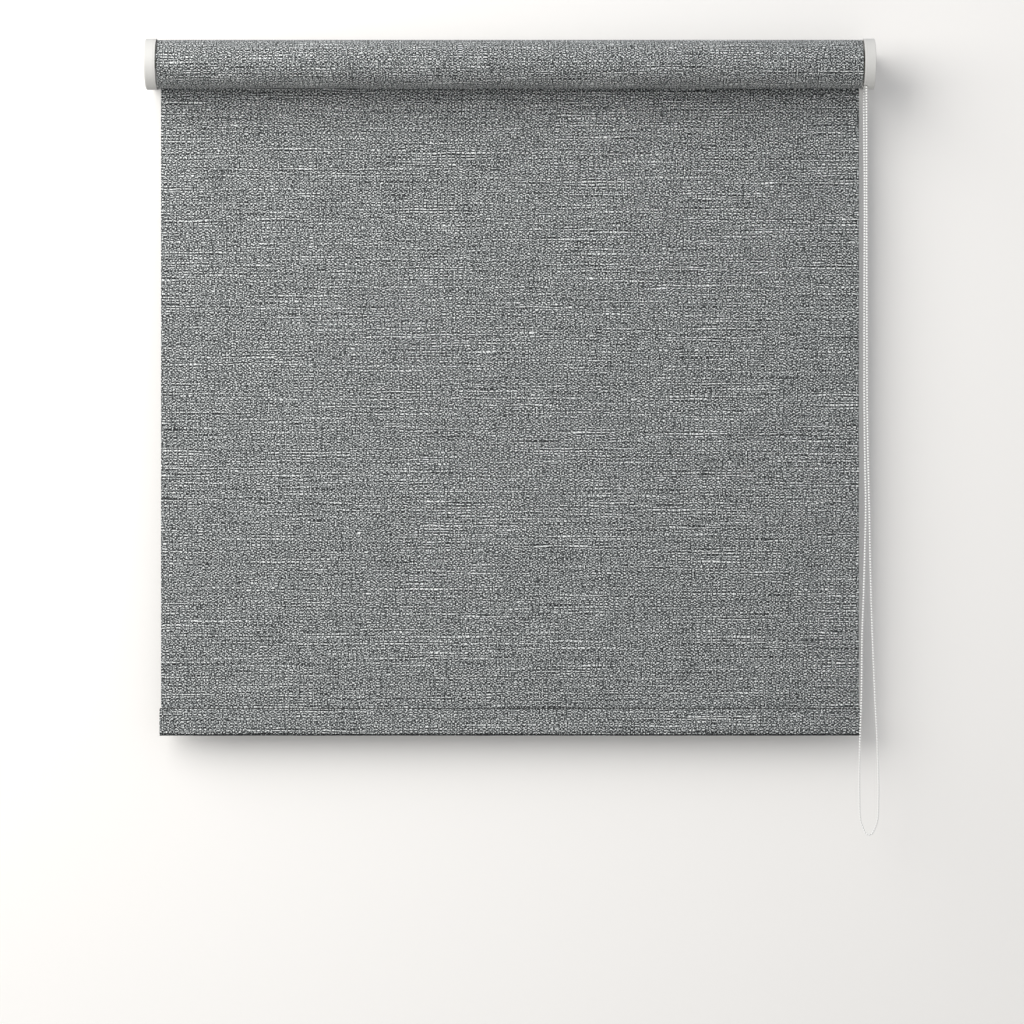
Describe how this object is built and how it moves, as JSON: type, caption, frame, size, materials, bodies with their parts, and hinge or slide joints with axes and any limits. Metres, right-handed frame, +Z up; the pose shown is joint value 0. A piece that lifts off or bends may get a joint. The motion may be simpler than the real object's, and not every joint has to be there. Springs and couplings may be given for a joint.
{
  "type": "roller blind",
  "caption": "Roller blind: cloth wound on a tube between two covered wall brackets, weighted hem, bead-chain clutch at the right end.",
  "frame": {"origin": "on the wall, midway between the two brackets, at the height of the roller's axis", "axes": "+X to the right as the blind is seen, +Y into the wall, +Z up"},
  "size_m": [0.8342, 0.089, 0.9071],
  "materials": {
    "blind_cloth": "mid grey melange linen-look weave",
    "cover_plastic": "white moulded, satin",
    "chain_plastic": "white moulded beads on a cord",
    "clutch_nylon": "natural nylon",
    "grey_plastic": "grey moulded",
    "bracket_steel": "white powder coat",
    "aluminium": "extruded, mill finish",
    "spring_steel": "spring wire",
    "zinc_steel": "zinc plated"
  },
  "bodies": {
    "mounting": {"left_bracket": "bracket_steel", "right_bracket": "bracket_steel", "left_cover": "cover_plastic", "right_cover": "cover_plastic", "clutch_core": "clutch_nylon", "chain_guard": "clutch_nylon", "clutch_screw_upper": "zinc_steel", "clutch_screw_lower": "zinc_steel", "clutch_spring_outer": "spring_steel", "clutch_spring_inner": "spring_steel", "retaining_washer": "zinc_steel", "retaining_screw": "zinc_steel", "chain_on_wheel": "chain_plastic", "operating_chain": "chain_plastic"},
    "roller": {"roller_tube": "aluminium", "cloth_spline": "grey_plastic", "wound_cloth": "blind_cloth", "drive_crown": "clutch_nylon", "idle_plug": "clutch_nylon", "idle_spring": "spring_steel"},
    "chain_wheel": {"chain_wheel": "clutch_nylon"},
    "idle_pin": {"idle_pin": "clutch_nylon"},
    "hem": {"hanging_cloth": "blind_cloth", "hem_sleeve": "blind_cloth", "hem_bar": "aluminium", "hem_cap_left": "grey_plastic", "hem_cap_right": "grey_plastic"}
  },
  "joints": [
    {"name": "blind_travel", "type": "slide", "parent": "mounting", "child": "hem", "axis": [0, 0, 1], "range_m": [-1.17904, 0.69869], "deforming": ["hanging_cloth"]},
    {"name": "roller_spin", "type": "hinge", "parent": "mounting", "child": "roller", "pos_m": [0, -0.06, 0], "axis": [1, 0, 0], "range_deg": [-2430.1, 1440.1]},
    {"name": "chain_wheel_spin", "type": "hinge", "parent": "mounting", "child": "chain_wheel", "pos_m": [0.4042, -0.06, 0], "axis": [1, 0, 0], "range_deg": [-2430.1, 1440.1]},
    {"name": "idle_pin_slide", "type": "slide", "parent": "roller", "child": "idle_pin", "axis": [1, 0, 0], "range_m": [0, 0.006], "stiffness_N_per_m": 900, "springref_m": -0.006, "deforming": ["idle_spring"]}
  ],
  "couplings": [
    {"joint": "roller_spin", "follows": "blind_travel", "rad_per_m": 35.971},
    {"joint": "chain_wheel_spin", "follows": "blind_travel", "rad_per_m": 35.971}
  ]
}
